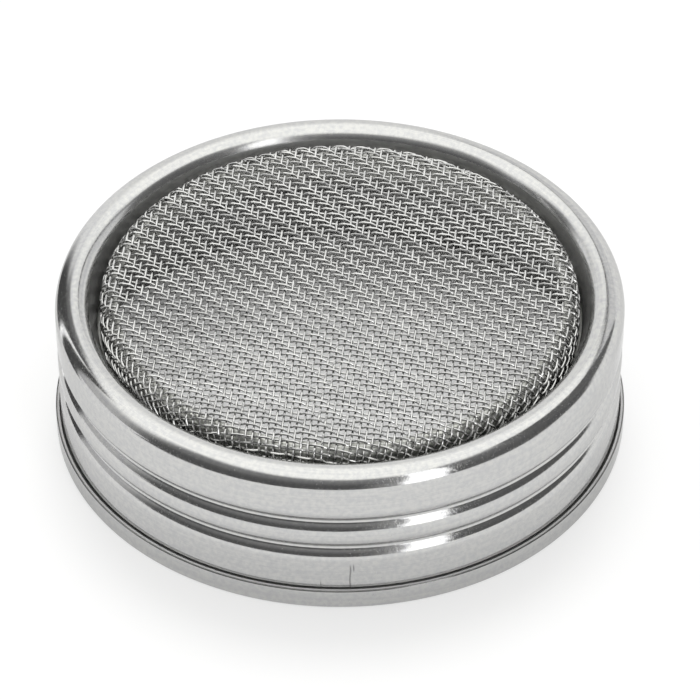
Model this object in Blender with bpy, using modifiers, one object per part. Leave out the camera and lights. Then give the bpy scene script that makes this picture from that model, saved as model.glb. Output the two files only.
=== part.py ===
"""Push-on mesh top of a table dredger, in stainless steel.

Three pieces, each its own object, at their real size in metres, +Z up. The origin is on the axis, on the
plane of the lower rim, which is the face that the top stands on.

collar          one spun sheet: a clamp leg, the rolled bead, the wall with two grooves, the folded hem
screen          wire cloth pressed into a flat tray with a rolled shoulder, upside down
screen_ring     sheet ring behind the screen, with a flange that the upper groove holds in the collar
"""

import bmesh
import bpy
from math import acos, atan2, ceil, cos, hypot, pi, radians, sin, tan
from mathutils import Matrix, Vector

# Collar
WALL_RADIUS = 0.0360         # outside of the straight wall
CAP_HEIGHT = 0.02055         # rim plane to the top of the bead
SHEET = 0.00045              # stainless sheet of the collar
BEAD_RADIUS = 0.00225        # outside of the rolled bead
UPPER_WALL = 0.00327         # straight wall between the bead and the upper groove
MIDDLE_WALL = 0.00082        # straight wall between the two grooves
HEM_HEIGHT = 0.00275         # folded hem, above the rim plane
HEM_GAP = 0.0002             # open crevice between hem and wall
HEM_CORNER = 0.0003          # outer corners of the fold
LEG_GAP = 0.00163            # foot of the bead's leg above the flange of the ring

# Grooves rolled into the wall
GROOVE_DEPTH = 0.00077
GROOVE_SHOULDER = 0.00174    # outside radius where the wall turns in
GROOVE_ROOT = 0.0006         # outside radius at the root

# Screen
SCREEN_DROP = 0.00015        # flat of the screen below the top of the bead
CHANNEL = 0.00108            # open channel between the bead and the screen
WIRE = 0.00028
WARP_PITCH = 0.00084         # of the wires that run back, along X
WEFT_PITCH = 0.00085         # of the wires that run across, along Y
WARP_LEAN = radians(6.0)     # wires that run back lean to +X
WEFT_FALL = radians(13.1)    # wires that run across fall off to -Y on their way to +X
WARPS_PER_BAR = 3            # the net has one bar for this many wires that run back
WEFTS_PER_BAR = 4            # and one for this many that run across
NET_BAR = 0.0006

# Ring behind the screen
RING_SHEET = 0.00045
RING_BEND = 0.00073          # inside of the bend at its top
RING_LIP = 0.0003            # flat lip that turns in past that bend
FLANGE_FILLET = 0.0005       # outside of the bend into the flange
FLANGE_SEAT = radians(30)    # where the flange's edge rests on the shoulder of the upper groove
FLANGE_DISH = radians(15)    # that edge is turned up by this much

# Fits
SEAT = 0.0003                # between pieces that touch

# Facets
STEPS = 60
ARC_STEP = radians(28)

STEEL = (0.58, 0.58, 0.57, 1.0)
WIRE_STEEL = (0.66, 0.66, 0.645, 1.0)


def clear_scene():
    for old in list(bpy.data.objects):
        bpy.data.objects.remove(old, do_unlink=True)


def collection(name):
    made = bpy.data.collections.new(name)
    bpy.context.scene.collection.children.link(made)
    return made


def metal(name, colour, roughness):
    made = bpy.data.materials.new(name)
    made.use_nodes = True
    shader = made.node_tree.nodes["Principled BSDF"]
    shader.inputs["Base Color"].default_value = colour
    shader.inputs["Metallic"].default_value = 1.0
    shader.inputs["Roughness"].default_value = roughness
    return made


def arc(centre, radius, start, end):
    """Points from the angle start to the angle end, both ends included."""
    count = max(2, ceil(abs(end - start) / ARC_STEP))
    turns = [start + (end - start) * i / count for i in range(count + 1)]
    return [(centre[0] + radius * cos(t), centre[1] + radius * sin(t)) for t in turns]


def without_repeats(points):
    """The same points, less each that lies on the one before it."""
    kept = [points[0]]
    for point in points[1:]:
        if hypot(point[0] - kept[-1][0], point[1] - kept[-1][1]) > SEAT / 100:
            kept.append(point)
    return kept


def offset(points, distance):
    """A line beside the points, to the right of their run, with mitred corners."""
    runs = list(zip(points, points[1:]))
    angles = [atan2(b[1] - a[1], b[0] - a[0]) for a, b in runs]
    befores = [angles[0]] + angles
    afters = angles + [angles[-1]]
    moved = []
    for (r, z), before, after in zip(points, befores, afters):
        bend = (after - before + pi) % (2 * pi) - pi
        reach = distance / cos(bend / 2)
        middle = before + bend / 2
        moved.append((r + reach * sin(middle), z - reach * cos(middle)))
    return moved


def add_object(name, mesh, where, material):
    made = bpy.data.objects.new(name, mesh)
    made.data.materials.append(material)
    where.objects.link(made)
    return made


def turned(name, outline, closed, where, material):
    """A profile of (radius, height) points, turned about Z by a Screw modifier."""
    edges = [(i, i + 1) for i in range(len(outline) - 1)]
    if closed:
        edges.append((len(outline) - 1, 0))
    mesh = bpy.data.meshes.new(name)
    mesh.from_pydata([(r, 0.0, z) for r, z in outline], edges, [])
    made = add_object(name, mesh, where, material)
    screw = made.modifiers.new("turn", "SCREW")
    screw.axis = "Z"
    screw.angle = 2 * pi
    screw.steps = STEPS
    screw.render_steps = STEPS
    screw.use_merge_vertices = True
    screw.merge_threshold = 0.00001
    return made


def as_mesh(turned_object):
    """Replaces the modifiers by the mesh that they make."""
    graph = bpy.context.evaluated_depsgraph_get()
    mesh = bpy.data.meshes.new_from_object(turned_object.evaluated_get(graph))
    turned_object.modifiers.clear()
    turned_object.data = mesh
    return turned_object


def groove_turn():
    """Angle through which the wall turns in at each side of a groove."""
    return acos(1 - GROOVE_DEPTH / (GROOVE_SHOULDER + GROOVE_ROOT))


def groove_half():
    """Half of a groove's height."""
    return (GROOVE_SHOULDER + GROOVE_ROOT) * sin(groove_turn())


def bead_centre():
    return WALL_RADIUS - BEAD_RADIUS, CAP_HEIGHT - BEAD_RADIUS


def upper_root():
    """Height of the root of the upper groove."""
    return bead_centre()[1] - UPPER_WALL - groove_half()


def lower_root():
    return upper_root() - 2 * groove_half() - MIDDLE_WALL


def groove(root_height):
    """Outside of one groove, from its upper end to its lower end."""
    turn = groove_turn()
    shoulder_radius = WALL_RADIUS - GROOVE_SHOULDER
    root_centre = WALL_RADIUS - GROOVE_DEPTH + GROOVE_ROOT
    upper = arc((shoulder_radius, root_height + groove_half()), GROOVE_SHOULDER, 0, -turn)
    root = arc((root_centre, root_height), GROOVE_ROOT, pi - turn, pi + turn)
    lower = arc((shoulder_radius, root_height - groove_half()), GROOVE_SHOULDER, turn, 0)
    return upper + root + lower


def flange_rim():
    """Radius and height of the lower edge of the ring's flange, beside the upper groove's shoulder."""
    reach = GROOVE_SHOULDER - SHEET - SEAT
    radius = WALL_RADIUS - GROOVE_SHOULDER + reach * cos(FLANGE_SEAT)
    return radius, upper_root() + groove_half() - reach * sin(FLANGE_SEAT)


def flange_flat():
    """Outer radius of the flange's flat, which a canister's rim reaches through the grooves' necks."""
    return WALL_RADIUS - GROOVE_DEPTH - SHEET - SEAT


def flange_top():
    """Height of the upper side of the flange's flat."""
    radius, height = flange_rim()
    return height - (radius - flange_flat()) * tan(FLANGE_DISH) + RING_SHEET


def flange_edge():
    """Upper side of the turned-up edge: where it leaves the flat, and its rim."""
    radius, height = flange_rim()
    start = (flange_flat() - RING_SHEET * tan(FLANGE_DISH / 2), flange_top())
    rim = (radius - RING_SHEET * sin(FLANGE_DISH), height + RING_SHEET * cos(FLANGE_DISH))
    return [start, rim]


def screen_radius():
    """Outside of the screen's skirt."""
    return WALL_RADIUS - 2 * BEAD_RADIUS - CHANNEL


def ring_shoulder():
    """Outside radius of the bend at the top of the ring."""
    return RING_BEND + RING_SHEET


def cloth():
    """Thickness of the screen, where one wire passes over another."""
    return 2 * WIRE


def screen_shoulder():
    """Outside radius of the screen's rolled shoulder."""
    return ring_shoulder() + SEAT + cloth()


def shoulder_centre():
    """Radius and height of the centre of the rolled shoulders of ring and screen."""
    return screen_radius() - screen_shoulder(), CAP_HEIGHT - SCREEN_DROP - screen_shoulder()


def make_collar(where, material):
    """One sheet: its face line runs from the leg's foot over the bead, down the wall and up the hem."""
    foot = (screen_radius() + SEAT, flange_top() + LEG_GAP)
    centre = bead_centre()
    away = atan2(foot[1] - centre[1], foot[0] - centre[0]) % (2 * pi)
    tangent = away - acos(BEAD_RADIUS / hypot(foot[0] - centre[0], foot[1] - centre[1]))
    bead = arc(centre, BEAD_RADIUS, tangent, pi / 2) + arc(centre, BEAD_RADIUS, pi / 2, 0)
    hem_face = WALL_RADIUS + HEM_GAP
    fold = [(WALL_RADIUS, SHEET), (hem_face, SHEET), (hem_face, HEM_HEIGHT)]
    face = without_repeats([foot] + bead + groove(upper_root()) + groove(lower_root()) + fold)

    back = offset(face, SHEET)
    inner_side = WALL_RADIUS - SHEET
    outer_side = hem_face + SHEET
    inner_corner = arc((inner_side + HEM_CORNER, HEM_CORNER), HEM_CORNER, pi, 1.5 * pi)
    outer_corner = arc((outer_side - HEM_CORNER, HEM_CORNER), HEM_CORNER, 1.5 * pi, 2 * pi)
    back[-3:-1] = inner_corner + outer_corner
    return turned("collar", face + back[::-1], True, where, material)


def make_gap_cutter(where, material):
    """Prisms that cut the net's gaps, for every cell that lies inside the flat of the screen."""
    reach = shoulder_centre()[0] - NET_BAR / 2
    pitch_across = WARPS_PER_BAR * WARP_PITCH
    pitch_back = WEFTS_PER_BAR * WEFT_PITCH
    across = Vector((pitch_across, -pitch_across * tan(WEFT_FALL)))
    back = Vector((pitch_back * tan(WARP_LEAN), pitch_back))
    side = across * (1 - NET_BAR / pitch_across)
    length = back * (1 - NET_BAR / pitch_back)
    tall = 4 * cloth()
    middle = CAP_HEIGHT - SCREEN_DROP - cloth() / 2
    cells = ceil(2 * reach / min(pitch_across, pitch_back))
    shape = bmesh.new()
    for i in range(-cells, cells + 1):
        for j in range(-cells, cells + 1):
            at = i * across + j * back
            corners = [at + (a * side + b * length) / 2 for a in (-1, 1) for b in (-1, 1)]
            if max(corner.length for corner in corners) > reach:
                continue
            place = Matrix(((side.x, length.x, 0, at.x),
                            (side.y, length.y, 0, at.y),
                            (0, 0, tall, middle),
                            (0, 0, 0, 1)))
            bmesh.ops.create_cube(shape, size=1.0, matrix=place)
    print("gaps in the net:", len(shape.faces) // 6)
    mesh = bpy.data.meshes.new("screen_gaps")
    shape.to_mesh(mesh)
    shape.free()
    cutter = add_object("screen_gaps", mesh, where, material)
    cutter.hide_render = True
    cutter.display_type = "WIRE"
    return cutter


def make_screen(where, cutters, material):
    """Flat net with a solid rolled shoulder and skirt, as one pressed piece."""
    foot_height = flange_top() + SEAT
    face = arc(shoulder_centre(), screen_shoulder(), pi / 2, 0)
    face.append((screen_radius(), foot_height))
    back = [(screen_radius() - cloth(), foot_height)]
    back += arc(shoulder_centre(), screen_shoulder() - cloth(), 0, pi / 2)
    screen = as_mesh(turned("screen", face + back, False, where, material))
    shape = bmesh.new()
    shape.from_mesh(screen.data)
    bmesh.ops.holes_fill(shape, edges=shape.edges, sides=STEPS)
    bmesh.ops.recalc_face_normals(shape, faces=shape.faces)
    shape.to_mesh(screen.data)
    shape.free()
    cut = screen.modifiers.new("gaps", "BOOLEAN")
    cut.operation = "DIFFERENCE"
    cut.solver = "EXACT"
    cut.object = make_gap_cutter(cutters, material)
    return screen


def make_screen_ring(where, material):
    """Ring that the screen is drawn over, with its flange below and the flange's edge turned up."""
    centre = shoulder_centre()
    lip = (centre[0] - RING_LIP, centre[1] + ring_shoulder())
    bend = arc(centre, ring_shoulder(), pi / 2, 0)
    fillet_centre = (centre[0] + ring_shoulder() + FLANGE_FILLET, flange_top() + FLANGE_FILLET)
    fillet = arc(fillet_centre, FLANGE_FILLET, pi, 1.5 * pi)
    face = [lip] + bend + fillet + flange_edge()
    back = offset(face, RING_SHEET)
    return turned("screen_ring", face + back[::-1], True, where, material)


def finish(piece):
    """Smooth shading, with the real edges kept sharp."""
    piece.data.shade_smooth()
    smooth = as_mesh(piece)
    smooth.data.shade_smooth()
    smooth.data.set_sharp_from_angle(angle=radians(40))


def main():
    clear_scene()
    parts = collection("dredger_mesh_top")
    cutters = collection("cutters")
    sheet_steel = metal("sheet_steel", STEEL, 0.22)
    ring_steel = metal("ring_steel", STEEL, 0.3)
    wire_steel = metal("wire_steel", WIRE_STEEL, 0.25)
    make_collar(parts, sheet_steel)
    make_screen(parts, cutters, wire_steel)
    make_screen_ring(parts, ring_steel)
    for piece in parts.objects:
        finish(piece)


main()
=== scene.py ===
"""Looks of the dredger's mesh top: bright spun collar, twill wire cloth and the ring behind it."""

from math import acos, atan2, ceil, cos, floor, hypot, pi, radians, sin, tan

import bpy
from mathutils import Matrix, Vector, noise


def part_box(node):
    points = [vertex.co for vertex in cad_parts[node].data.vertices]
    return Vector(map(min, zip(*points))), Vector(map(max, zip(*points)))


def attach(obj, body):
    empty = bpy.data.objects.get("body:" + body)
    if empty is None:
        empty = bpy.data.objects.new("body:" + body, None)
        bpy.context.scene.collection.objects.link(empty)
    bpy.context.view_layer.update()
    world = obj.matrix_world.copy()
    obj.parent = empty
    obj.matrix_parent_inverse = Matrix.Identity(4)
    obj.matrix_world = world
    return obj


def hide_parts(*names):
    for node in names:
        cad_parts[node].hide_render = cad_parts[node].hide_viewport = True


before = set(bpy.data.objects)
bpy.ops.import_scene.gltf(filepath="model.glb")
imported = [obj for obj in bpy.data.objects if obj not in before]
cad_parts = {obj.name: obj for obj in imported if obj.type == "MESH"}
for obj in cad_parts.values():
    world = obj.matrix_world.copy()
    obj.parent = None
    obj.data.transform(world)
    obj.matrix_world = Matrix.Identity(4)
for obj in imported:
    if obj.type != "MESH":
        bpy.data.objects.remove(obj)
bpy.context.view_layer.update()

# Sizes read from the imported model
HEM_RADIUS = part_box("collar")[1].x
CAP_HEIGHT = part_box("collar")[1].z
SCREEN_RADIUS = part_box("screen")[1].x
SCREEN_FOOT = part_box("screen")[0].z
FLANGE_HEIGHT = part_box("screen_ring")[0].z

# Collar, in metres
SHEET = 0.00045
HEM_GAP = 0.0002
HEM_HEIGHT = 0.00275
HEM_CORNER = 0.0003
EDGE_BEVEL = 0.00016
WALL_RADIUS = HEM_RADIUS - HEM_GAP - SHEET
BEAD_RADIUS = 0.00225
UPPER_WALL = 0.00327
MIDDLE_WALL = 0.00082
LEG_GAP = 0.00163
GROOVE_DEPTH = 0.00077
GROOVE_SHOULDER = 0.00174
GROOVE_ROOT = 0.0006
SEAT = 0.0003

# Wire cloth
SCREEN_DROP = 0.00015
WIRE = 0.00028
WARP_PITCH = 0.00084
WEFT_PITCH = 0.00085
WARP_LEAN = radians(6.0)
WEFT_FALL = radians(13.1)
WEAVE_START = Vector((-0.00003, -0.00005, 0))
REPEAT = 4                   # each wire passes over two and under two
SPARE_WIRES = 6              # beyond the cloth's radius, because the wires run aslant
DRIFT = 0.00012              # slow unevenness of the cloth
DRIFT_SCALE = 60             # its bends for each metre
WANDER = 0.00006             # unevenness of a single wire
WANDER_SCALE = 0.08          # its bends for each crossing
WIRE_SEED = 0.9
WARP_SEED = 3.7
WEFT_SEED = 8.1
WEAVE_SEED = 3               # without it the unevenness would differ from run to run

# Ring
RING_SHEET = 0.00045
RING_BEND = 0.00073
RING_LIP = 0.0003
FLANGE_FILLET = 0.0005
FLANGE_SEAT = radians(30)
FLANGE_DISH = radians(15)

# Facets
STEPS = 288
ARC_STEP = radians(6)
POINTS_PER_CROSSING = 5
WIRE_FACETS = 2
SHARP_ANGLE = radians(38)
MERGE_DISTANCE = 0.00001

# Steel colours
COLLAR_TINT = (0.565, 0.565, 0.56)
RING_TINT = (0.63, 0.635, 0.605)
WIRE_TINT = (0.68, 0.68, 0.672)
EDGE_TINT = (0.8, 0.8, 0.8, 1.0)
COOL = (0.935, 0.937, 0.955)
WARM = (1.065, 1.063, 1.05)
WORN_WIRE = (0.92, 0.92, 0.92)
BRIGHT_WIRE = (1.08, 1.08, 1.08)

# Steel surface; a scale is for each metre, a depth in metres
COLLAR_ROUGH = 0.11
RING_ROUGH = 0.38
MARK_DEPTH = 0.000002
COLLAR_GRAIN = 0.0000022
RING_GRAIN = 0.000002
MARKS_AROUND = 2.5
MARKS_ACROSS = 7000.0
GRAIN_SCALE = 4200.0
SMEAR_SCALE = 110.0
SMEAR_RANGE = (0.3, 0.75)
SMEAR_POLISHED = 0.8
SMEAR_DULL = 1.25
SPECK_SCALE = 5000.0
SPECK_SQUEEZE = (1.0, 1.0, 0.35)
SPECK_RANGE = (0.45, 0.78)
SPECK_ROUGH = 0.17
MOTTLE_SCALE = 1700.0
MOTTLE_RANGE = (0.36, 0.64)
MARKS_SHARE = 0.4            # of the turning marks in the mottle
# grey of painted shade, used inside, low on the hem and on the leg
PAINTED_SHADE_GREY = 0.1
INSIDE_SHADE = 0.1           # painted shade: how far the inner faces go to a dark grey
INSIDE_ROUGH = 0.45
INSIDE_TURN = (-0.2, 0.0)
WIRE_PATCHES = 900.0
WIRE_PATCH_RANGE = (0.3, 0.7)
WIRE_ROUGH = (0.14, 0.22)
WIRE_UNDERSIDE = 0.52        # how far the wires' lower sides go to a dark grey: painted shade
WIRE_UNDERSIDE_TURN = (-0.1, 0.5)
WIRE_UNDERSIDE_SHADE = 0.06

# Places on the collar with their looks; a pair is where something starts and where it ends
CUT_EDGE = (HEM_HEIGHT - 0.00002, HEM_HEIGHT + 0.0001)
CUT_EDGE_SIDE = (WALL_RADIUS + HEM_GAP * 0.5, WALL_RADIUS + HEM_GAP)
CUT_EDGE_FADE = 0.00001
# the cut edge's lighter colour is a painted highlight; its roughness is the edge's own
CUT_EDGE_SHADE = 0.85
CUT_EDGE_ROUGH = 0.75
# painted dark reflection line on the bevel of the cut edge
BEVEL_FOOT = HEM_HEIGHT - EDGE_BEVEL * 0.7
BEVEL_SIDE = (HEM_RADIUS - EDGE_BEVEL * 1.3, HEM_RADIUS - EDGE_BEVEL)
BEVEL_SHARE = 0.7
BEVEL_SHADE = 0.08
CREVICE_TOP = (HEM_HEIGHT, HEM_HEIGHT + 0.00003)
CREVICE_SIDE = (WALL_RADIUS + HEM_GAP * 0.4, WALL_RADIUS + HEM_GAP * 0.6)
CREVICE_ROUGH = 0.6
# painted shade on the sheet below the hem's top, darker towards its foot
HEM_FACE = (0.0012, HEM_HEIGHT)
HEM_FACE_SHARES = (0.13, 0.04)
LEG_SIDE = (0.0322, 0.0327)
LEG_ROUGH = 0.2
LEG_FOOT = (0.0189, 0.0197)
LEG_FOOT_ROUGH = 0.42
# stripe of painted shade on the leg, stronger towards the back
LEG_STRIPE = (0.0186, 0.0195)
LEG_STRIPE_FADE = 0.0003
LEG_STRIPE_BACK = (0.1, 0.7)
LEG_SHADE_SHARE = 0.35
INNER_WALL = 0.0345

# Upright scratches at the front: distance from the middle, lower end, upper end, width
SCRATCHES = ((0.00119, 0.003, 0.0065, 0.0002),
             (0.00158, 0.0056, 0.0066, 0.00016),
             (-0.0024, 0.003, 0.0038, 0.00012))
SCRATCH_SHARE = 0.6
SCRATCH_SHADE = 0.12
SCRATCH_WAVES = 1900.0
SCRATCH_WANDER = 0.00004
SCRATCH_FADE = 0.00006
SCRATCH_END = 0.0004

# Camera
VIEW_ELEVATION = radians(41.92)
VIEW_DISTANCE = 0.504
VIEW_LENS = 200.0
SENSOR = 36.0
VIEW_PIVOT = Vector((0, 0, 0.00025))
AIM = Vector((0.0013, 0.0049, 0.0057))

# White table, whose edge lies to the front left, out of the picture
FLOOR_OUTLINE = ((4, 4), (-4, 4), (-4, -1.45), (-0.116, -0.042), (-0.085, -0.147), (0, -0.29),
                 (0.25, -0.9), (1.5, -4), (4, -4))
FLOOR_PAINT = 0.9

# Share of plain white in the floor, which keeps its shadows pale
SEEN_WHITE = 0.58            # seen directly, round the top
MIRRORED_WHITE = 0.5         # mirrored in the collar
UNDER_WHITE = 0.3            # seen directly, through the cloth
UNDER_FADE = (0.004, 0.034)  # from the front to the back of the cloth the white fades to none: painted shade

# Soft light from behind and above
LAMP_HEIGHT = radians(62)
LAMP_SPREAD = radians(24)
LAMP_POWER = 1.05

# Dark card beside the collar on the left, with a bright slit
LEFT_CARD_LINE = ((-0.1015, 0.0077), (-0.0929, 0.0208), (-0.0657, 0.052), (-0.04, 0.066))
LEFT_CARD_TOP = 0.1
LEFT_CARD_SHADE = 0.09
LEFT_CARD_CORNER = (-0.08, -0.066)
LEFT_CARD_CORNER_RISE = (0.05, 0.07)
LEFT_CARD_CORNER_SHADE = 0.22
LEFT_CARD_NEAR_END = (-0.1015, -0.0985)
LEFT_CARD_NEAR_SHADE = 0.75
LEFT_CARD_SLIT = -0.0843
LEFT_CARD_SLIT_EDGE = (0.0012, 0.0026)
LEFT_CARD_SLIT_FALL = (0.068, 0.088)
LEFT_CARD_SLIT_REST = 0.25
LEFT_CARD_SLIT_SHADE = 1.7
LEFT_CARD_FAR_END = (0.05, 0.068, -0.068, -0.056)   # two heights, and the end's place at each
LEFT_CARD_FAR_FADE = 0.015
LEFT_CARD_FAR_SHADE = 1.15
LEFT_CARD_TOP_FADE = (LEFT_CARD_TOP * 0.87, LEFT_CARD_TOP)
LEFT_CARD_TOP_SHADE = 1.2

# Cards behind to the right, with one top: a dark one, then a pale one with a dark upper edge
SIDE_CARD_LINE = ((0.061, -0.033), (0.077, 0), (0.088, 0.035), (0.0865, 0.044))
SIDE_CARD_FOOT = 0.045
SIDE_CARD_SHADE = 0.16
PALE_CARD_LINE = ((0.0865, 0.044), (0.08, 0.056), (0.058, 0.078), (0.042, 0.089), (0.031, 0.096),
                  (0.024, 0.107), (0.019, 0.125))
PALE_CARD_FOOT = 0.05
PALE_CARD_SHADE = 0.9
PALE_CARD_EDGE = 0.011
PALE_CARD_EDGE_SHADE = 0.13
RIGHT_CARDS_TOP = 0.103

# Studio round the top, in degrees: turns from the front towards +X, heights above the horizon.
# A pair is where a change starts and where it ends.
LOW_LIGHT = (1.1, 1.1, 1.085, 1.0)
HIGH_LIGHT = (1.5, 1.5, 1.465, 1.0)
LIGHT_RISE = (28, 55)
FAR_LEFT_START = (-145, -125)
FAR_LEFT_END = (-80, -60)
FAR_LEFT_TOP = (22, 42)
FAR_LEFT_SHADE = 0.66
LEAN_FOOT = 14               # above this height the upright edges lean to the right
LEAN = 0.22
LEFT_START = (-92, -68)
LEFT_END = (21, 23)
LEFT_TOP = (50, 66)
LEFT_RISE = (15, 55)
LEFT_LOW_SHADE = 0.125
LEFT_HIGH_SHADE = 0.33
LEFT_END_RISE = (4, 23)
LEFT_END_SHADE = 0.42
RIGHT_START = (37, 39)
RIGHT_END = (120, 132)
RIGHT_FOOT_STEPS = ((68, 92, 6), (98, 112, 12), (120, 155, 19))   # each one's start, end and rise
RIGHT_FOOT_FADE = (0, 5)
RIGHT_TOP = (75, 118, 60, 37)                                     # two turns, and the height at each
RIGHT_TOP_FADE = (-7, 7)
RIGHT_RISE = (20, 60)
RIGHT_LOW_SHADE = 0.135
RIGHT_HIGH_SHADE = 0.24
STRIP = (22, 38)             # lamp between the two dark sides
STRIP_FADE = 1
STRIP_TOP = (50, 64)
STRIP_SHADE = 2.4

noise.seed_set(WEAVE_SEED)


def arc(centre, radius, start, end):
    """Points from the angle start to the angle end, both ends included."""
    count = max(3, ceil(abs(end - start) / ARC_STEP))
    turns = [start + (end - start) * i / count for i in range(count + 1)]
    return [(centre[0] + radius * cos(t), centre[1] + radius * sin(t)) for t in turns]


def without_repeats(points):
    """The same points, less each that lies on the one before it."""
    kept = [points[0]]
    for point in points[1:]:
        if hypot(point[0] - kept[-1][0], point[1] - kept[-1][1]) > SEAT / 100:
            kept.append(point)
    return kept


def offset(points, distance):
    """A line beside the points, to the right of their run, with mitred corners."""
    runs = list(zip(points, points[1:]))
    angles = [atan2(b[1] - a[1], b[0] - a[0]) for a, b in runs]
    befores = [angles[0]] + angles
    afters = angles + [angles[-1]]
    moved = []
    for (r, z), before, after in zip(points, befores, afters):
        bend = (after - before + pi) % (2 * pi) - pi
        reach = distance / cos(bend / 2)
        middle = before + bend / 2
        moved.append((r + reach * sin(middle), z - reach * cos(middle)))
    return moved


def link(made):
    bpy.context.scene.collection.objects.link(made)
    return made


def as_mesh(piece):
    """The piece as the mesh that its modifiers or its curves make."""
    bpy.context.view_layer.update()
    graph = bpy.context.evaluated_depsgraph_get()
    mesh = bpy.data.meshes.new_from_object(piece.evaluated_get(graph))
    name = piece.name
    bpy.data.objects.remove(piece)
    mesh.name = name
    mesh.shade_smooth()
    mesh.set_sharp_from_angle(angle=SHARP_ANGLE)
    return link(bpy.data.objects.new(name, mesh))


def turned(name, outline):
    """A closed profile of (radius, height) points, turned about Z."""
    edges = [(i, (i + 1) % len(outline)) for i in range(len(outline))]
    mesh = bpy.data.meshes.new(name)
    mesh.from_pydata([(r, 0.0, z) for r, z in outline], edges, [])
    made = link(bpy.data.objects.new(name, mesh))
    screw = made.modifiers.new("turn", "SCREW")
    screw.axis = "Z"
    screw.angle = 2 * pi
    screw.steps = STEPS
    screw.render_steps = STEPS
    screw.use_merge_vertices = True
    screw.merge_threshold = MERGE_DISTANCE
    return as_mesh(made)


def groove_turn():
    """Angle through which the wall turns in at each side of a groove."""
    return acos(1 - GROOVE_DEPTH / (GROOVE_SHOULDER + GROOVE_ROOT))


def groove_half():
    """Half of a groove's height."""
    return (GROOVE_SHOULDER + GROOVE_ROOT) * sin(groove_turn())


def bead_centre():
    return WALL_RADIUS - BEAD_RADIUS, CAP_HEIGHT - BEAD_RADIUS


def upper_root():
    return bead_centre()[1] - UPPER_WALL - groove_half()


def lower_root():
    return upper_root() - 2 * groove_half() - MIDDLE_WALL


def groove(root_height):
    """Outside of one groove, from its upper end to its lower end."""
    turn = groove_turn()
    shoulder_radius = WALL_RADIUS - GROOVE_SHOULDER
    root_centre = WALL_RADIUS - GROOVE_DEPTH + GROOVE_ROOT
    upper = arc((shoulder_radius, root_height + groove_half()), GROOVE_SHOULDER, 0, -turn)
    root = arc((root_centre, root_height), GROOVE_ROOT, pi - turn, pi + turn)
    lower = arc((shoulder_radius, root_height - groove_half()), GROOVE_SHOULDER, turn, 0)
    return upper + root + lower


def flange_top():
    """Height of the upper side of the flange's flat."""
    return FLANGE_HEIGHT + RING_SHEET


def ring_shoulder():
    return RING_BEND + RING_SHEET


def screen_shoulder():
    """Outside radius of the screen's rolled shoulder."""
    return ring_shoulder() + SEAT + 2 * WIRE


def shoulder_centre():
    """Radius and height of the centre of the rolled shoulders of ring and screen."""
    return SCREEN_RADIUS - screen_shoulder(), CAP_HEIGHT - SCREEN_DROP - screen_shoulder()


def make_collar():
    """One sheet: leg, bead, grooved wall and the hem, whose cut edge is slightly broken."""
    foot = (SCREEN_RADIUS + SEAT, flange_top() + LEG_GAP)
    centre = bead_centre()
    away = atan2(foot[1] - centre[1], foot[0] - centre[0]) % (2 * pi)
    tangent = away - acos(BEAD_RADIUS / hypot(foot[0] - centre[0], foot[1] - centre[1]))
    bead = arc(centre, BEAD_RADIUS, tangent, pi / 2) + arc(centre, BEAD_RADIUS, pi / 2, 0)
    hem_face = WALL_RADIUS + HEM_GAP
    fold = [(WALL_RADIUS, SHEET), (hem_face, SHEET), (hem_face, HEM_HEIGHT)]
    face = without_repeats([foot] + bead + groove(upper_root()) + groove(lower_root()) + fold)
    back = offset(face, SHEET)
    inner_side = WALL_RADIUS - SHEET
    outer_side = hem_face + SHEET
    inner_corner = arc((inner_side + HEM_CORNER, HEM_CORNER), HEM_CORNER, pi, 1.5 * pi)
    outer_corner = arc((outer_side - HEM_CORNER, HEM_CORNER), HEM_CORNER, 1.5 * pi, 2 * pi)
    broken = arc((outer_side - EDGE_BEVEL, HEM_HEIGHT - EDGE_BEVEL), EDGE_BEVEL, 0, pi / 2)
    back[-3:] = inner_corner + outer_corner + broken
    return turned("spun_collar", face + back[::-1])


def flange_edge():
    """Upper side of the flange's turned-up edge: where it leaves the flat, and its rim."""
    reach = GROOVE_SHOULDER - SHEET - SEAT
    radius = WALL_RADIUS - GROOVE_SHOULDER + reach * cos(FLANGE_SEAT)
    height = upper_root() + groove_half() - reach * sin(FLANGE_SEAT)
    flat = WALL_RADIUS - GROOVE_DEPTH - SHEET - SEAT
    start = (flat - RING_SHEET * tan(FLANGE_DISH / 2), flange_top())
    rim = (radius - RING_SHEET * sin(FLANGE_DISH), height + RING_SHEET * cos(FLANGE_DISH))
    return [start, rim]


def make_ring():
    """Ring that the cloth is drawn over, with its flange below."""
    centre = shoulder_centre()
    lip = (centre[0] - RING_LIP, centre[1] + ring_shoulder())
    bend = arc(centre, ring_shoulder(), pi / 2, 0)
    fillet_centre = (centre[0] + ring_shoulder() + FLANGE_FILLET, flange_top() + FLANGE_FILLET)
    fillet = arc(fillet_centre, FLANGE_FILLET, pi, 1.5 * pi)
    face = [lip] + bend + fillet + flange_edge()
    return turned("pressed_ring", face + offset(face, RING_SHEET)[::-1])


def draped(u, v, lift):
    """Place of a point of the flat cloth once it is pressed over the ring; lift is off its middle."""
    flat_radius, centre_height = shoulder_centre()
    bend = screen_shoulder() - WIRE
    reach = hypot(u, v)
    past = reach - flat_radius
    if past <= 0:
        return Vector((u, v, centre_height + bend + lift))
    turn = min(past / bend, pi / 2)
    drop = max(0.0, past - bend * pi / 2)
    radius = flat_radius + (bend + lift) * sin(turn)
    height = centre_height + (bend + lift) * cos(turn) - drop
    return Vector((u / reach * radius, v / reach * radius, height))


def cloth_reach():
    """Radius of the flat disc of cloth that covers the top, the shoulder and the skirt."""
    flat_radius, centre_height = shoulder_centre()
    bend = screen_shoulder() - WIRE
    return flat_radius + bend * pi / 2 + centre_height - SCREEN_FOOT - WIRE / 2


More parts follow.
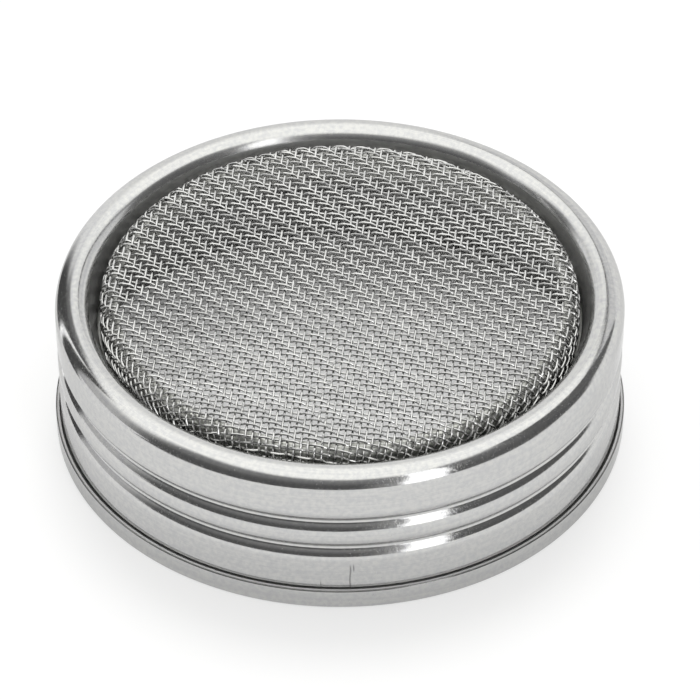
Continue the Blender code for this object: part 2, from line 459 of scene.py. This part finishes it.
def weave_point(i, j):
    """Place in the flat cloth of warp wire i and weft wire j, either of which may be between wires."""
    across = Vector((WARP_PITCH, -WARP_PITCH * tan(WEFT_FALL), 0))
    back = Vector((WEFT_PITCH * tan(WARP_LEAN), WEFT_PITCH, 0))
    at = WEAVE_START + i * across + j * back
    return at + DRIFT * noise.noise_vector(at * DRIFT_SCALE)


def lift_at(number, crossing, along_warp):
    """Height of a wire off the cloth's middle at a crossing: the warp is on top at two of four."""
    warp_on_top = (number + crossing) % REPEAT < REPEAT / 2
    return WIRE / 2 if warp_on_top == along_warp else -WIRE / 2


def eased(share):
    return share * share * (3 - 2 * share)


def wire_points(number, along_warp, reach):
    """Middle line of one wire, draped, for the stretch of it that lies in the cloth."""
    pitch = WEFT_PITCH if along_warp else WARP_PITCH
    last = ceil(reach / pitch) + SPARE_WIRES
    points = []
    for step in range(-last * POINTS_PER_CROSSING, last * POINTS_PER_CROSSING + 1):
        at = step / POINTS_PER_CROSSING
        crossing = floor(at)
        before = lift_at(number, crossing, along_warp)
        after = lift_at(number, crossing + 1, along_warp)
        place = weave_point(number, at) if along_warp else weave_point(at, number)
        seed = WARP_SEED if along_warp else WEFT_SEED
        side = WANDER * noise.noise(Vector((number * WIRE_SEED, seed, at * WANDER_SCALE)))
        place += Vector((side, 0, 0)) if along_warp else Vector((0, side, 0))
        if hypot(place.x, place.y) <= reach:
            lift = before + (after - before) * eased(at - crossing)
            points.append(draped(place.x, place.y, lift))
    return points


def make_wires(name, along_warp):
    """All wires of one direction, as tubes."""
    reach = cloth_reach()
    last = ceil(reach / (WARP_PITCH if along_warp else WEFT_PITCH)) + SPARE_WIRES
    curve = bpy.data.curves.new(name, "CURVE")
    curve.dimensions = "3D"
    curve.bevel_depth = WIRE / 2
    curve.bevel_resolution = WIRE_FACETS
    curve.use_fill_caps = True
    for number in range(-last, last + 1):
        points = wire_points(number, along_warp, reach)
        if len(points) < 2 * POINTS_PER_CROSSING:
            continue
        spline = curve.splines.new("POLY")
        spline.points.add(len(points) - 1)
        for target, point in zip(spline.points, points):
            target.co = (point.x, point.y, point.z, 1)
    return as_mesh(link(bpy.data.objects.new(name, curve)))


class Shader:
    """Adds nodes to a node tree."""

    def __init__(self, tree):
        self.tree = tree
        tree.nodes.clear()

    def node(self, kind, settings=(), **inputs):
        made = self.tree.nodes.new(kind)
        for key, value in dict(settings).items():
            setattr(made, key, value)
        for key, value in inputs.items():
            self.put(value, made.inputs[key])
        return made

    def put(self, value, socket):
        if hasattr(value, "is_output"):
            self.tree.links.new(value, socket)
        else:
            socket.default_value = value

    def math(self, operation, *values):
        made = self.tree.nodes.new("ShaderNodeMath")
        made.operation = operation
        for value, socket in zip(values, made.inputs):
            self.put(value, socket)
        return made.outputs[0]

    def total(self, first, *others):
        for value in others:
            first = self.math("ADD", first, value)
        return first

    def product(self, first, *others):
        for value in others:
            first = self.math("MULTIPLY", first, value)
        return first

    def span(self, value, low, high, to_low=0.0, to_high=1.0):
        """Maps value smoothly from low..high to to_low..to_high."""
        made = self.tree.nodes.new("ShaderNodeMapRange")
        made.interpolation_type = "SMOOTHSTEP"
        for socket, item in zip(made.inputs, (value, low, high, to_low, to_high)):
            self.put(item, socket)
        return made.outputs[0]

    def fade(self, value, low, high):
        """1 up to low, 0 from high on."""
        return self.span(value, low, high, 1.0, 0.0)

    def band(self, value, low, high, soft):
        """1 where value lies between low and high, with edges that soft widens."""
        rise = self.span(value, low - soft, low + soft)
        return self.product(rise, self.fade(value, high - soft, high + soft))

    def mix(self, share, first, second):
        made = self.tree.nodes.new("ShaderNodeMix")
        made.data_type = "RGBA"
        for number, item in ((0, share), (6, first), (7, second)):
            self.put(item, made.inputs[number])
        return made.outputs[2]

    def noise(self, place, scale, detail):
        made = self.node("ShaderNodeTexNoise", Vector=place)
        made.inputs["Scale"].default_value = scale
        made.inputs["Detail"].default_value = detail
        return made.outputs["Fac"]

    def parts(self, vector):
        """X, Y and Z of a vector."""
        return self.node("ShaderNodeSeparateXYZ", Vector=vector).outputs


def grey(value):
    return (value, value, value, 1.0)


def shaded(tint, factors):
    return tuple(share * factor for share, factor in zip(tint, factors)) + (1.0,)


def new_material(name):
    made = bpy.data.materials.new(name)
    made.use_nodes = True
    return made, Shader(made.node_tree)


def glowing(name, shade_of):
    """Material that shines with the shade that shade_of works out from a place on it."""
    made, shader = new_material(name)
    glow = shader.node("ShaderNodeEmission")
    place = shader.parts(shader.node("ShaderNodeTexCoord").outputs["Object"])
    shader.put(shade_of(shader, place), glow.inputs["Color"])
    shader.node("ShaderNodeOutputMaterial", Surface=glow.outputs[0])
    return made


def round_axis(shader, place):
    """Direction round the axis as a unit vector's X and Y, then the radius and the height."""
    parts = shader.parts(place)
    flat = shader.node("ShaderNodeCombineXYZ", X=parts[0], Y=parts[1]).outputs[0]
    length = shader.node("ShaderNodeVectorMath", {"operation": "LENGTH"})
    shader.put(flat, length.inputs[0])
    unit = shader.node("ShaderNodeVectorMath", {"operation": "NORMALIZE"})
    shader.put(flat, unit.inputs[0])
    sides = shader.parts(unit.outputs[0])
    return sides[0], sides[1], length.outputs["Value"], parts[2]


def turning_marks(shader, place):
    """Noise drawn out round the axis, as the tool leaves it on a spun sheet."""
    side_x, side_y, radius, height = round_axis(shader, place)
    spot = shader.node("ShaderNodeCombineXYZ",
                       X=shader.product(side_x, MARKS_AROUND),
                       Y=shader.product(side_y, MARKS_AROUND),
                       Z=shader.product(height, MARKS_ACROSS)).outputs[0]
    made = shader.node("ShaderNodeTexNoise", {"noise_dimensions": "4D"}, Vector=spot,
                       W=shader.product(radius, MARKS_ACROSS))
    made.inputs["Scale"].default_value = 1.0
    made.inputs["Detail"].default_value = 3.0
    return made.outputs["Fac"]


def upright_specks(shader, place):
    """Small dull specks, longer upwards than across."""
    squeezed = shader.node("ShaderNodeVectorMath", {"operation": "MULTIPLY"})
    shader.put(place, squeezed.inputs[0])
    squeezed.inputs[1].default_value = SPECK_SQUEEZE
    return shader.span(shader.noise(squeezed.outputs[0], SPECK_SCALE, 2.0), *SPECK_RANGE)


def steel_surface(shader, colour, roughness, height):
    """Metal with the given colour, roughness and relief."""
    bump = shader.node("ShaderNodeBump", Height=height)
    bump.inputs["Distance"].default_value = 1.0
    surface = shader.node("ShaderNodeBsdfPrincipled")
    surface.inputs["Metallic"].default_value = 1.0
    surface.inputs["Specular Tint"].default_value = EDGE_TINT
    shader.put(colour, surface.inputs["Base Color"])
    shader.put(roughness, surface.inputs["Roughness"])
    shader.put(bump.outputs["Normal"], surface.inputs["Normal"])
    shader.node("ShaderNodeOutputMaterial", Surface=surface.outputs[0])


def steel_material(name, tint, rough, grain, details):
    """Bright stainless sheet: fine turning marks, a slight grain, faint smears and dull upright specks."""
    made, shader = new_material(name)
    coordinates = shader.node("ShaderNodeTexCoord").outputs
    place = coordinates["Object"]
    marks = turning_marks(shader, place)
    smears = shader.noise(place, SMEAR_SCALE, 3.0)
    roughness = shader.total(shader.span(smears, *SMEAR_RANGE, rough * SMEAR_POLISHED, rough * SMEAR_DULL),
                             shader.product(upright_specks(shader, place), SPECK_ROUGH))
    mottle = shader.total(shader.product(marks, MARKS_SHARE),
                          shader.product(shader.noise(place, MOTTLE_SCALE, 4.0), 1 - MARKS_SHARE))
    colour = shader.mix(shader.span(mottle, *MOTTLE_RANGE), shaded(tint, COOL), shaded(tint, WARM))
    colour, roughness = details(shader, coordinates, colour, roughness)
    height = shader.total(shader.product(marks, MARK_DEPTH),
                          shader.product(shader.noise(place, GRAIN_SCALE, 2.0), grain))
    steel_surface(shader, colour, roughness, height)
    return made


def dull_with_painted_shade(shader, coordinates, colour, roughness, where):
    """Painted shade on the faces that look to the axis or down, as far as where allows: their colour goes
    towards a dark grey, and they are also rougher.
    """
    side_x, side_y = round_axis(shader, coordinates["Object"])[:2]
    facing = shader.parts(coordinates["Normal"])
    outward = shader.total(shader.product(facing[0], side_x), shader.product(facing[1], side_y))
    shown = shader.total(outward, facing[2])
    inside = shader.product(shader.fade(shown, *INSIDE_TURN), where)
    colour = shader.mix(shader.product(inside, INSIDE_SHADE), colour, grey(PAINTED_SHADE_GREY))
    roughness = shader.mix(inside, roughness, grey(INSIDE_ROUGH))
    return colour, roughness


def hem_details(shader, radius, height, colour, roughness):
    """Matt cut edge of the hem, painted lighter as a painted highlight, with a painted dark reflection line
    on its bevel, the rougher crevice behind it, and painted shade on the sheet below the hem's top, darker
    towards its foot.
    """
    cut = shader.product(shader.band(height, *CUT_EDGE, CUT_EDGE_FADE), shader.span(radius, *CUT_EDGE_SIDE))
    # painted highlight on the cut edge
    colour = shader.mix(cut, colour, grey(CUT_EDGE_SHADE))
    roughness = shader.mix(cut, roughness, grey(CUT_EDGE_ROUGH))
    # painted dark reflection line on the bevel
    bevel = shader.product(shader.math("GREATER_THAN", height, BEVEL_FOOT),
                           shader.span(radius, *BEVEL_SIDE, 0.0, BEVEL_SHARE))
    colour = shader.mix(bevel, colour, grey(BEVEL_SHADE))
    crevice = shader.product(shader.fade(height, *CREVICE_TOP), shader.fade(radius, *CREVICE_SIDE))
    roughness = shader.mix(crevice, roughness, grey(CREVICE_ROUGH))
    # painted shade below the hem's top, stronger towards the foot
    face = shader.product(shader.span(height, *HEM_FACE, *HEM_FACE_SHARES),
                          shader.math("LESS_THAN", height, HEM_HEIGHT))
    return shader.mix(face, colour, grey(PAINTED_SHADE_GREY)), roughness


def leg_details(shader, side_y, radius, height, colour, roughness):
    """The bead's leg: a little rougher, its foot more so, with a stripe of painted shade that grows towards
    the back.
    """
    leg = shader.fade(radius, *LEG_SIDE)
    foot = shader.product(leg, shader.fade(height, *LEG_FOOT))
    roughness = shader.mix(leg, roughness, grey(LEG_ROUGH))
    roughness = shader.mix(foot, roughness, grey(LEG_FOOT_ROUGH))
    # painted shade on the leg, growing towards the back
    shade_stripe = shader.product(leg, shader.band(height, *LEG_STRIPE, LEG_STRIPE_FADE),
                            shader.span(side_y, *LEG_STRIPE_BACK, 0.0, LEG_SHADE_SHARE))
    return shader.mix(shade_stripe, colour, grey(PAINTED_SHADE_GREY)), roughness


def scratch(shader, turn, height, side, low, high, width):
    """1 on an upright mark of the wall at the distance side from the middle of the front."""
    wave = shader.math("SINE", shader.product(height, SCRATCH_WAVES))
    wandering = shader.total(turn, shader.product(wave, SCRATCH_WANDER))
    across = shader.band(wandering, side - width / 2, side + width / 2, SCRATCH_FADE)
    return shader.product(across, shader.band(height, low, high, SCRATCH_END))


def collar_details(shader, coordinates, colour, roughness):
    """What differs from the plain steel: painted highlight and shade on the hem, painted shade on the leg
    and inside, more roughness on all three, and the wall's scratches.
    """
    side_x, side_y, radius, height = round_axis(shader, coordinates["Object"])
    colour, roughness = hem_details(shader, radius, height, colour, roughness)
    colour, roughness = leg_details(shader, side_y, radius, height, colour, roughness)
    outer = shader.math("GREATER_THAN", radius, INNER_WALL)
    # painted shade, with more roughness, on the wall's inner and lower faces
    colour, roughness = dull_with_painted_shade(shader, coordinates, colour, roughness, outer)
    turn = shader.product(side_x, WALL_RADIUS)
    marks = shader.total(*[scratch(shader, turn, height, *place) for place in SCRATCHES])
    front = shader.math("LESS_THAN", side_y, 0.0)
    share = shader.product(marks, front, SCRATCH_SHARE)
    return shader.mix(share, colour, grey(SCRATCH_SHADE)), roughness


# The ring gets painted shade, with more roughness, on all its faces that look to the axis or down.
def ring_details(shader, coordinates, colour, roughness):
    return dull_with_painted_shade(shader, coordinates, colour, roughness, 1.0)


def wire_material(name):
    """Bright drawn wire with painted shade on its lower sides, each stretch a little lighter or darker."""
    made, shader = new_material(name)
    coordinates = shader.node("ShaderNodeTexCoord").outputs
    patches = shader.noise(coordinates["Object"], WIRE_PATCHES, 3.0)
    colour = shader.mix(shader.span(patches, *WIRE_PATCH_RANGE), shaded(WIRE_TINT, WORN_WIRE),
                        shaded(WIRE_TINT, BRIGHT_WIRE))
    # painted shade on the wires' lower sides
    facing_up = shader.parts(coordinates["Normal"])[2]
    under = shader.span(facing_up, *WIRE_UNDERSIDE_TURN, WIRE_UNDERSIDE, 0.0)
    colour = shader.mix(under, colour, grey(WIRE_UNDERSIDE_SHADE))
    surface = shader.node("ShaderNodeBsdfPrincipled")
    surface.inputs["Metallic"].default_value = 1.0
    shader.put(colour, surface.inputs["Base Color"])
    shader.put(shader.span(patches, *WIRE_PATCH_RANGE, *WIRE_ROUGH), surface.inputs["Roughness"])
    shader.node("ShaderNodeOutputMaterial", Surface=surface.outputs[0])
    return made


def add_camera():
    data = bpy.data.cameras.new("camera")
    data.lens = VIEW_LENS
    data.sensor_width = SENSOR
    data.clip_start = 0.01
    data.clip_end = 20.0
    camera = link(bpy.data.objects.new("camera", data))
    direction = Vector((0, -cos(VIEW_ELEVATION), sin(VIEW_ELEVATION)))
    camera.location = VIEW_PIVOT + direction * VIEW_DISTANCE
    camera.rotation_euler = (AIM - camera.location).to_track_quat("-Z", "Y").to_euler()
    bpy.context.scene.camera = camera


def floor_material():
    """White paint, mixed with plain white where it is seen directly or mirrored in the collar; under the
    cloth the white is less and fades out towards the back, as painted shade.
    """
    made, shader = new_material("floor_white")
    place = shader.node("ShaderNodeTexCoord").outputs["Object"]
    radius = round_axis(shader, place)[2]
    back = shader.parts(place)[1]
    outside = shader.math("GREATER_THAN", radius, WALL_RADIUS)
    inside = shader.math("LESS_THAN", radius, WALL_RADIUS)
    path = shader.node("ShaderNodeLightPath").outputs
    seen = path["Is Camera Ray"]
    around = shader.total(shader.product(seen, SEEN_WHITE),
                          shader.product(path["Is Glossy Ray"], MIRRORED_WHITE))
    # painted shade: under the cloth the white is less and fades out towards the back
    under = shader.product(seen, shader.span(back, *UNDER_FADE, UNDER_WHITE, 0.0))
    share = shader.total(shader.product(outside, around), shader.product(inside, under))
    paint = shader.node("ShaderNodeBsdfDiffuse", Color=grey(FLOOR_PAINT))
    white = shader.node("ShaderNodeEmission", Color=grey(1.0))
    blend = shader.node("ShaderNodeMixShader")
    for socket, value in zip(blend.inputs, (share, paint.outputs[0], white.outputs[0])):
        shader.put(value, socket)
    shader.node("ShaderNodeOutputMaterial", Surface=blend.outputs[0])
    return made


def add_floor():
    mesh = bpy.data.meshes.new("floor")
    corners = [(x, y, 0) for x, y in FLOOR_OUTLINE]
    mesh.from_pydata(corners, [], [list(reversed(range(len(corners))))])
    mesh.materials.append(floor_material())
    link(bpy.data.objects.new("floor", mesh))


def add_lamp():
    """Soft light for the table and what shows through the cloth, itself not mirrored."""
    data = bpy.data.lights.new("back_light", "SUN")
    data.angle = LAMP_SPREAD
    data.energy = LAMP_POWER
    lamp = link(bpy.data.objects.new("back_light", data))
    towards = Vector((0, -cos(LAMP_HEIGHT), -sin(LAMP_HEIGHT)))
    lamp.rotation_euler = towards.to_track_quat("-Z", "Y").to_euler()
    lamp.visible_glossy = False


def add_card(name, outline, foot, top, shade_of):
    """Upright sheet along a line on the floor, seen only in the steel's reflections."""
    corners = [(x, y, z) for z in (foot, top) for x, y in outline]
    count = len(outline)
    faces = [(i, i + 1, count + i + 1, count + i) for i in range(count - 1)]
    mesh = bpy.data.meshes.new(name)
    mesh.from_pydata(corners, [], faces)
    mesh.materials.append(glowing(name, shade_of))
    card = link(bpy.data.objects.new(name, mesh))
    card.visible_camera = False
    card.visible_diffuse = False
    card.visible_shadow = False
    card.visible_transmission = False


def left_card_shade(shader, place):
    """Dark card with lighter ends and top, and a bright slit."""
    x, z = place[0], place[2]
    corner = shader.product(shader.span(x, *LEFT_CARD_CORNER), shader.span(z, *LEFT_CARD_CORNER_RISE))
    shade = shader.mix(corner, grey(LEFT_CARD_SHADE), grey(LEFT_CARD_CORNER_SHADE))
    shade = shader.mix(shader.span(x, *LEFT_CARD_NEAR_END), grey(LEFT_CARD_NEAR_SHADE), shade)
    off_slit = shader.math("ABSOLUTE", shader.math("SUBTRACT", x, LEFT_CARD_SLIT))
    slit = shader.product(shader.fade(off_slit, *LEFT_CARD_SLIT_EDGE),
                          shader.span(z, *LEFT_CARD_SLIT_FALL, 1.0, LEFT_CARD_SLIT_REST))
    shade = shader.mix(slit, shade, grey(LEFT_CARD_SLIT_SHADE))
    past_end = shader.math("SUBTRACT", x, shader.span(z, *LEFT_CARD_FAR_END))
    shade = shader.mix(shader.span(past_end, 0.0, LEFT_CARD_FAR_FADE), shade, grey(LEFT_CARD_FAR_SHADE))
    return shader.mix(shader.span(z, *LEFT_CARD_TOP_FADE), shade, grey(LEFT_CARD_TOP_SHADE))


def side_card_shade(shader, place):
    """The same dark grey all over."""
    return grey(SIDE_CARD_SHADE)


def pale_card_shade(shader, place):
    """Pale card, whose dark upper edge draws a fine line on the bead."""
    edge = shader.math("GREATER_THAN", place[2], RIGHT_CARDS_TOP - PALE_CARD_EDGE)
    return shader.mix(edge, grey(PALE_CARD_SHADE), grey(PALE_CARD_EDGE_SHADE))


def wall_far_left(shader, turn, height, light):
    """Grey wall, far away behind to the left."""
    share = shader.product(shader.span(turn, *FAR_LEFT_START), shader.fade(turn, *FAR_LEFT_END),
                           shader.fade(height, *FAR_LEFT_TOP))
    return shader.mix(share, light, grey(FAR_LEFT_SHADE))


def dark_left(shader, turn, leaned, height, light):
    """Dark room in front to the left, lighter above and at its right end."""
    share = shader.product(shader.span(turn, *LEFT_START), shader.fade(leaned, *LEFT_END),
                           shader.fade(height, *LEFT_TOP))
    shade = shader.mix(shader.span(height, *LEFT_RISE), grey(LEFT_LOW_SHADE), grey(LEFT_HIGH_SHADE))
    shade = shader.mix(shader.span(leaned, *LEFT_END_RISE), shade, grey(LEFT_END_SHADE))
    return shader.mix(share, light, shade)


def dark_right(shader, turn, leaned, height, light):
    """Dark room in front to the right, whose foot rises and whose top falls towards the back."""
    steps = [shader.span(turn, start, end, 0.0, rise) for start, end, rise in RIGHT_FOOT_STEPS]
    over_foot = shader.math("SUBTRACT", height, shader.total(*steps))
    over_top = shader.math("SUBTRACT", height, shader.span(turn, *RIGHT_TOP))
    share = shader.product(shader.span(leaned, *RIGHT_START), shader.fade(turn, *RIGHT_END),
                           shader.span(over_foot, *RIGHT_FOOT_FADE),
                           shader.fade(over_top, *RIGHT_TOP_FADE))
    shade = shader.mix(shader.span(height, *RIGHT_RISE), grey(RIGHT_LOW_SHADE), grey(RIGHT_HIGH_SHADE))
    return shader.mix(share, light, shade)


def strip_lamp(shader, leaned, height, light):
    share = shader.product(shader.band(leaned, *STRIP, STRIP_FADE), shader.fade(height, *STRIP_TOP))
    return shader.mix(share, light, grey(STRIP_SHADE))


def add_studio():
    """World light by direction: white above and behind, a dark room in front, one strip lamp in it."""
    world = bpy.data.worlds.new("studio")
    bpy.context.scene.world = world
    world.use_nodes = True
    shader = Shader(world.node_tree)
    direction = shader.parts(shader.node("ShaderNodeTexCoord").outputs["Generated"])
    height = shader.math("DEGREES", shader.math("ARCSINE", direction[2]))
    front = shader.product(direction[1], -1.0)
    turn = shader.math("DEGREES", shader.math("ARCTAN2", direction[0], front))
    over_foot = shader.math("MAXIMUM", 0.0, shader.math("SUBTRACT", height, LEAN_FOOT))
    leaned = shader.math("SUBTRACT", turn, shader.product(over_foot, LEAN))

    light = shader.mix(shader.span(height, *LIGHT_RISE), LOW_LIGHT, HIGH_LIGHT)
    light = wall_far_left(shader, turn, height, light)
    light = dark_left(shader, turn, leaned, height, light)
    light = dark_right(shader, turn, leaned, height, light)
    light = strip_lamp(shader, leaned, height, light)

    path = shader.node("ShaderNodeLightPath").outputs
    light = shader.mix(path["Is Camera Ray"], light, grey(1.0))
    sky = shader.node("ShaderNodeBackground", Color=light)
    shader.node("ShaderNodeOutputWorld", Surface=sky.outputs[0])


def dress(piece, material, node):
    """Gives a piece its material and lets it stand for a node of the CAD model."""
    piece.data.materials.clear()
    piece.data.materials.append(material)
    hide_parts(node)
    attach(piece, "root")


add_camera()
add_studio()
add_floor()
add_lamp()
add_card("card_dark", LEFT_CARD_LINE, 0.0, LEFT_CARD_TOP, left_card_shade)
add_card("card_pale", PALE_CARD_LINE, PALE_CARD_FOOT, RIGHT_CARDS_TOP, pale_card_shade)
add_card("card_side", SIDE_CARD_LINE, SIDE_CARD_FOOT, RIGHT_CARDS_TOP, side_card_shade)
collar_steel = steel_material("collar_steel", COLLAR_TINT, COLLAR_ROUGH, COLLAR_GRAIN, collar_details)
ring_steel = steel_material("ring_steel", RING_TINT, RING_ROUGH, RING_GRAIN, ring_details)
wire_steel = wire_material("wire_steel")
dress(make_collar(), collar_steel, "collar")
dress(make_ring(), ring_steel, "screen_ring")
dress(make_wires("warp_wires", True), wire_steel, "screen")
dress(make_wires("weft_wires", False), wire_steel, "screen")

bpy.context.scene.view_settings.view_transform = "Standard"
